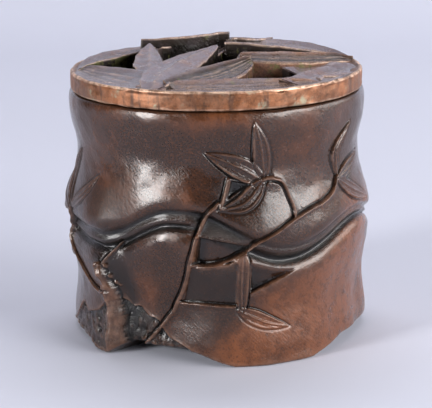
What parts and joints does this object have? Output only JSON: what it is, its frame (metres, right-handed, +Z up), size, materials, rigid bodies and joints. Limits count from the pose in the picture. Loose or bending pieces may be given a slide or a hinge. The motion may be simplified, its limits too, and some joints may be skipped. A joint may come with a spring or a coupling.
{
  "type": "bronze incense burner",
  "caption": "Small round cast bronze incense burner shaped as a lobed bamboo trunk with relief leaves, and a lift-off lid of pierced, overlapping leaves.",
  "frame": {"origin": "middle of the foot, on the surface that the burner stands on", "axes": "+Z up, -Y the front that shows the bamboo stem and its leaves, +X to the right seen from the front"},
  "size_m": [0.07, 0.0697, 0.0649],
  "materials": {
    "bronze_body": "dark brown waxed patina, rubbed brighter on raised edges",
    "bronze_lid": "worn coppery brown patina with pale green spots",
    "bronze_unpolished": "dull dark cast surface"
  },
  "bodies": {
    "vessel": {"vessel_body": "bronze_body", "base_plate": "bronze_unpolished"},
    "lid": {"lid_cover": "bronze_lid", "lid_collar": "bronze_unpolished"}
  },
  "joints": [
    {"name": "lid_lift", "type": "slide", "parent": "vessel", "child": "lid", "axis": [0, 0, 1], "range_m": [0, 0.03]}
  ]
}
